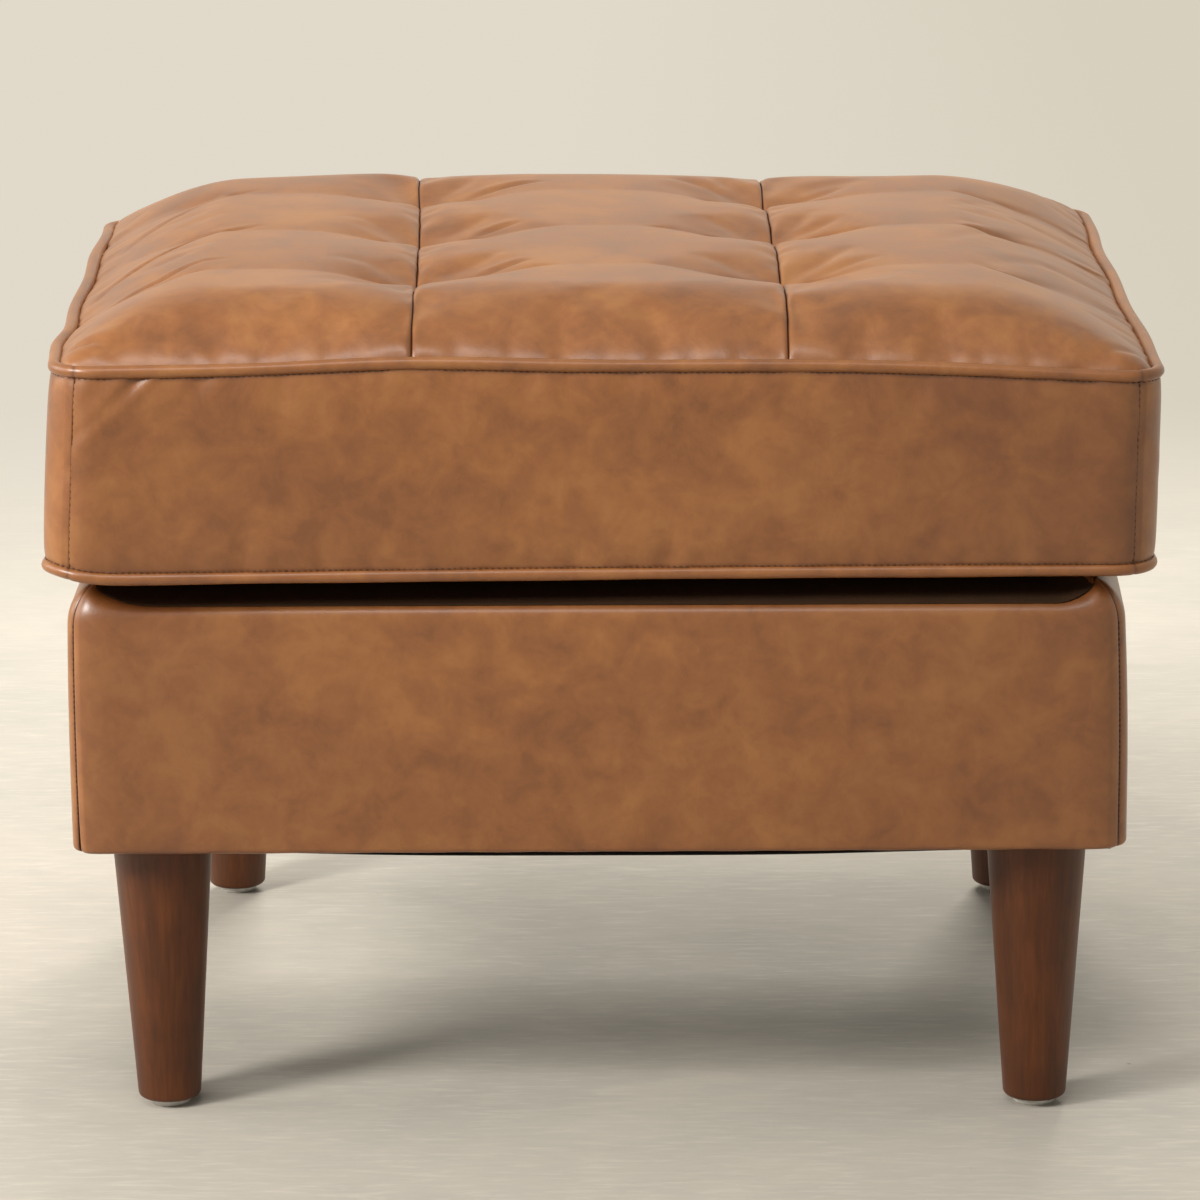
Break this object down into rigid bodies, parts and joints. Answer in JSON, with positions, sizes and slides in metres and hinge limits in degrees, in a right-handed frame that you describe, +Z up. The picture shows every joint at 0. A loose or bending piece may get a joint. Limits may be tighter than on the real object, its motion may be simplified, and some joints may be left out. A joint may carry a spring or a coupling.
{
  "type": "ottoman coffee table",
  "caption": "Upholstered ottoman with a loose tufted box cushion on a padded box base and tapered turned legs.",
  "frame": {"origin": "on the floor under the middle of the ottoman", "axes": "+Z up, +X to the right along the longer side, the front with the visible tufted view faces -Y"},
  "size_m": [0.5994, 0.5197, 0.468],
  "materials": {
    "leg_wood": "satin",
    "frame_wood": "matte",
    "cover_leather": "satin",
    "dust_cloth": "matte",
    "webbing_cloth": "matte",
    "padding": "matte",
    "foam": "matte",
    "twine": "matte",
    "bright_steel": "satin",
    "zip_metal": "satin",
    "glide_plastic": "matte",
    "zip_plastic": "matte"
  },
  "bodies": {
    "base": {"front_rail": "frame_wood", "back_rail": "frame_wood", "left_rail": "frame_wood", "right_rail": "frame_wood", "front_left_corner_block": "frame_wood", "front_right_corner_block": "frame_wood", "back_left_corner_block": "frame_wood", "back_right_corner_block": "frame_wood", "front_left_leg": "leg_wood", "front_right_leg": "leg_wood", "back_left_leg": "leg_wood", "back_right_leg": "leg_wood", "front_left_glide": "glide_plastic", "front_right_glide": "glide_plastic", "back_left_glide": "glide_plastic", "back_right_glide": "glide_plastic", "glide_nails": "bright_steel", "leg_bolts": "bright_steel", "leg_t_nuts": "bright_steel", "frame_screws": "bright_steel", "lengthwise_webbing_1": "webbing_cloth", "lengthwise_webbing_2": "webbing_cloth", "lengthwise_webbing_3": "webbing_cloth", "crosswise_webbing_1": "webbing_cloth", "crosswise_webbing_2": "webbing_cloth", "crosswise_webbing_3": "webbing_cloth", "crosswise_webbing_4": "webbing_cloth", "hessian_sheet": "webbing_cloth", "base_top_pad": "foam", "front_side_pad": "foam", "back_side_pad": "foam", "left_side_pad": "foam", "right_side_pad": "foam", "front_base_cover": "cover_leather", "back_base_cover": "cover_leather", "left_base_cover": "cover_leather", "right_base_cover": "cover_leather", "deck_cloth": "dust_cloth", "dust_cover": "dust_cloth"},
    "cushion": {"top_left_panel": "cover_leather", "top_middle_panel": "cover_leather", "top_right_panel": "cover_leather", "front_border": "cover_leather", "left_border": "cover_leather", "right_border": "cover_leather", "back_border_upper": "cover_leather", "back_border_lower": "cover_leather", "bottom_panel": "cover_leather", "top_welt": "cover_leather", "bottom_welt": "cover_leather", "foam_core": "foam", "upper_fibre_wrap": "padding", "lower_fibre_wrap": "padding", "tuft_ties": "twine", "tuft_toggles": "glide_plastic", "zip_tape": "twine", "zip_chain": "zip_plastic"},
    "zip_slider": {"zip_slider": "zip_metal"},
    "zip_pull": {"zip_pull": "zip_metal"}
  },
  "joints": [
    {"name": "cushion_lift", "type": "slide", "parent": "base", "child": "cushion", "axis": [0, 0, 1], "range_m": [0, 0.25]},
    {"name": "zip_run", "type": "slide", "parent": "cushion", "child": "zip_slider", "axis": [-1, 0, 0], "range_m": [0, 0.442]},
    {"name": "zip_pull_swing", "type": "hinge", "parent": "zip_slider", "child": "zip_pull", "pos_m": [0.221, 0.255, 0.37275], "axis": [0, 0, -1], "range_deg": [0, 175]}
  ]
}
